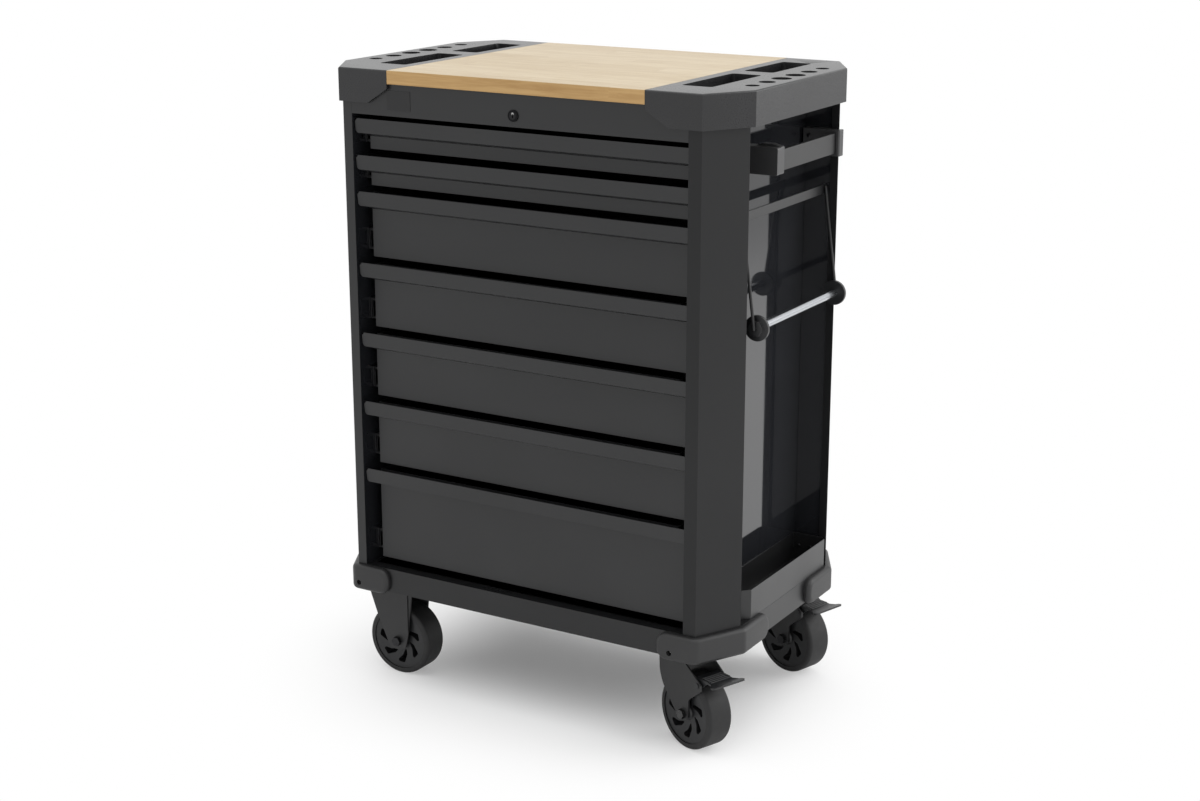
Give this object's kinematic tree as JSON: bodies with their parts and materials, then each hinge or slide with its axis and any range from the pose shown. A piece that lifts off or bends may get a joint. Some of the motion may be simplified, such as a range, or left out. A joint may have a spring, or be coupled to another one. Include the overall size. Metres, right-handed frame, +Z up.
{
  "type": "rolling tool cabinet",
  "caption": "Rolling tool cabinet with drawers, wooden worktop between moulded caps, open side bay with tray, roll holder and push bar, on castors.",
  "frame": {"origin": "on the floor under the middle of the whole cabinet's width and depth, roll holder and bumpers included", "axes": "+X to the right seen from the drawers' side, +Y towards the back, +Z up"},
  "size_m": [0.7752, 0.496, 1.0635],
  "materials": {
    "body_paint": "satin black powder coat",
    "cap_plastic": "fine-textured dark grey moulding",
    "worktop_wood": "clear-lacquered light boards",
    "fork_paint": "satin black paint",
    "dark_steel": "black-plated",
    "zinc_steel": "zinc-plated",
    "handle_plastic": "fine-textured black",
    "bar_paint": "satin dark grey",
    "tube_metal": "satin",
    "wheel_rubber": "dark rubber on a grey core"
  },
  "bodies": {
    "cabinet": {"base_pan": "body_paint", "left_shell": "body_paint", "slide_walls": "body_paint", "front_right_column": "body_paint", "rear_right_column": "body_paint", "bay_rear_panel": "body_paint", "back_panel": "body_paint", "fascia": "body_paint", "top_deck": "body_paint", "worktop_board": "worktop_wood", "left_cap": "cap_plastic", "right_cap": "cap_plastic", "corner_bumpers": "cap_plastic", "panel_screws": "dark_steel", "shelf_tray": "body_paint", "push_bar": "bar_paint", "handle_front_bracket": "handle_plastic", "handle_rear_bracket": "handle_plastic", "roll_bracket": "body_paint", "lock_housing": "dark_steel", "slide_rails": "dark_steel", "fixed_castor_forks": "fork_paint", "fixed_castor_axles": "dark_steel", "swivel_castor_plates": "fork_paint", "castor_bolts": "dark_steel"},
    "lock_cylinder": {"lock_cylinder": "dark_steel"},
    "lock_bar": {"lock_bar": "dark_steel"},
    "roll": {"roll_tube": "tube_metal", "roll_discs": "handle_plastic"},
    "front_fixed_wheel": {"front_fixed_wheel": "wheel_rubber"},
    "rear_fixed_wheel": {"rear_fixed_wheel": "wheel_rubber"},
    "drawer_1": {"drawer_1_box": "body_paint", "drawer_1_front": "body_paint"},
    "drawer_1_slide": {"drawer_1_slide": "dark_steel"},
    "drawer_2": {"drawer_2_box": "body_paint", "drawer_2_front": "body_paint"},
    "drawer_2_slide": {"drawer_2_slide": "dark_steel"},
    "drawer_3": {"drawer_3_box": "body_paint", "drawer_3_front": "body_paint"},
    "drawer_3_slide": {"drawer_3_slide": "dark_steel"},
    "drawer_4": {"drawer_4_box": "body_paint", "drawer_4_front": "body_paint"},
    "drawer_4_slide": {"drawer_4_slide": "dark_steel"},
    "drawer_5": {"drawer_5_box": "body_paint", "drawer_5_front": "body_paint"},
    "drawer_5_slide": {"drawer_5_slide": "dark_steel"},
    "drawer_6": {"drawer_6_box": "body_paint", "drawer_6_front": "body_paint"},
    "drawer_6_slide": {"drawer_6_slide": "dark_steel"},
    "drawer_7": {"drawer_7_box": "body_paint", "drawer_7_front": "body_paint"},
    "drawer_7_slide": {"drawer_7_slide": "dark_steel"},
    "front_swivel": {"front_swivel_fork": "fork_paint", "front_swivel_axle": "zinc_steel"},
    "front_swivel_wheel": {"front_swivel_wheel": "wheel_rubber"},
    "front_brake_pedal": {"front_brake_pedal": "handle_plastic"},
    "rear_swivel": {"rear_swivel_fork": "fork_paint", "rear_swivel_axle": "zinc_steel"},
    "rear_swivel_wheel": {"rear_swivel_wheel": "wheel_rubber"},
    "rear_brake_pedal": {"rear_brake_pedal": "handle_plastic"}
  },
  "joints": [
    {"name": "drawer_1_travel", "type": "slide", "parent": "cabinet", "child": "drawer_1", "axis": [0, -1, 0], "range_m": [0, 0.4]},
    {"name": "drawer_1_slide_travel", "type": "slide", "parent": "cabinet", "child": "drawer_1_slide", "axis": [0, -1, 0], "range_m": [0, 0.2]},
    {"name": "drawer_2_travel", "type": "slide", "parent": "cabinet", "child": "drawer_2", "axis": [0, -1, 0], "range_m": [0, 0.4]},
    {"name": "drawer_2_slide_travel", "type": "slide", "parent": "cabinet", "child": "drawer_2_slide", "axis": [0, -1, 0], "range_m": [0, 0.2]},
    {"name": "drawer_3_travel", "type": "slide", "parent": "cabinet", "child": "drawer_3", "axis": [0, -1, 0], "range_m": [0, 0.4]},
    {"name": "drawer_3_slide_travel", "type": "slide", "parent": "cabinet", "child": "drawer_3_slide", "axis": [0, -1, 0], "range_m": [0, 0.2]},
    {"name": "drawer_4_travel", "type": "slide", "parent": "cabinet", "child": "drawer_4", "axis": [0, -1, 0], "range_m": [0, 0.4]},
    {"name": "drawer_4_slide_travel", "type": "slide", "parent": "cabinet", "child": "drawer_4_slide", "axis": [0, -1, 0], "range_m": [0, 0.2]},
    {"name": "drawer_5_travel", "type": "slide", "parent": "cabinet", "child": "drawer_5", "axis": [0, -1, 0], "range_m": [0, 0.4]},
    {"name": "drawer_5_slide_travel", "type": "slide", "parent": "cabinet", "child": "drawer_5_slide", "axis": [0, -1, 0], "range_m": [0, 0.2]},
    {"name": "drawer_6_travel", "type": "slide", "parent": "cabinet", "child": "drawer_6", "axis": [0, -1, 0], "range_m": [0, 0.4]},
    {"name": "drawer_6_slide_travel", "type": "slide", "parent": "cabinet", "child": "drawer_6_slide", "axis": [0, -1, 0], "range_m": [0, 0.2]},
    {"name": "drawer_7_travel", "type": "slide", "parent": "cabinet", "child": "drawer_7", "axis": [0, -1, 0], "range_m": [0, 0.4]},
    {"name": "drawer_7_slide_travel", "type": "slide", "parent": "cabinet", "child": "drawer_7_slide", "axis": [0, -1, 0], "range_m": [0, 0.2]},
    {"name": "lock_turn", "type": "hinge", "parent": "cabinet", "child": "lock_cylinder", "pos_m": [-0.0066, -0.237, 1.0074], "axis": [0, 1, 0], "range_deg": [0, 90]},
    {"name": "lock_bar_drop", "type": "slide", "parent": "cabinet", "child": "lock_bar", "axis": [0, 0, -1], "range_m": [0, 0.008]},
    {"name": "roll_spin", "type": "hinge", "parent": "cabinet", "child": "roll", "pos_m": [0.3671, 0.00835, 0.695], "axis": [0, 1, 0], "continuous": true},
    {"name": "front_fixed_wheel_spin", "type": "hinge", "parent": "cabinet", "child": "front_fixed_wheel", "pos_m": [-0.2866, -0.169, 0.0625], "axis": [0, 1, 0], "continuous": true},
    {"name": "rear_fixed_wheel_spin", "type": "hinge", "parent": "cabinet", "child": "rear_fixed_wheel", "pos_m": [-0.2866, 0.193, 0.0625], "axis": [0, 1, 0], "continuous": true},
    {"name": "front_swivel_turn", "type": "hinge", "parent": "cabinet", "child": "front_swivel", "pos_m": [0.2654, -0.169, 0.17], "axis": [0, 0, 1], "continuous": true},
    {"name": "front_swivel_wheel_spin", "type": "hinge", "parent": "front_swivel", "child": "front_swivel_wheel", "pos_m": [0.29701, -0.18152, 0.0625], "axis": [0.3681, 0.9298, 0], "continuous": true},
    {"name": "front_pedal_press", "type": "hinge", "parent": "front_swivel", "child": "front_brake_pedal", "pos_m": [0.32861, -0.19403, 0.12198], "axis": [0.3681, 0.9298, 0], "range_deg": [0, 12]},
    {"name": "rear_swivel_turn", "type": "hinge", "parent": "cabinet", "child": "rear_swivel", "pos_m": [0.2654, 0.193, 0.17], "axis": [0, 0, 1], "continuous": true},
    {"name": "rear_swivel_wheel_spin", "type": "hinge", "parent": "rear_swivel", "child": "rear_swivel_wheel", "pos_m": [0.29788, 0.18295, 0.0625], "axis": [0.2957, 0.9553, 0], "continuous": true},
    {"name": "rear_pedal_press", "type": "hinge", "parent": "rear_swivel", "child": "rear_brake_pedal", "pos_m": [0.33034, 0.1729, 0.12198], "axis": [0.2957, 0.9553, 0], "range_deg": [0, 12]}
  ],
  "couplings": [
    {"joint": "drawer_1_slide_travel", "follows": "drawer_1_travel", "ratio": 0.5},
    {"joint": "drawer_2_slide_travel", "follows": "drawer_2_travel", "ratio": 0.5},
    {"joint": "drawer_3_slide_travel", "follows": "drawer_3_travel", "ratio": 0.5},
    {"joint": "drawer_4_slide_travel", "follows": "drawer_4_travel", "ratio": 0.5},
    {"joint": "drawer_5_slide_travel", "follows": "drawer_5_travel", "ratio": 0.5},
    {"joint": "drawer_6_slide_travel", "follows": "drawer_6_travel", "ratio": 0.5},
    {"joint": "drawer_7_slide_travel", "follows": "drawer_7_travel", "ratio": 0.5},
    {"joint": "lock_turn", "follows": "lock_bar_drop", "rad_per_m": 196.35}
  ]
}
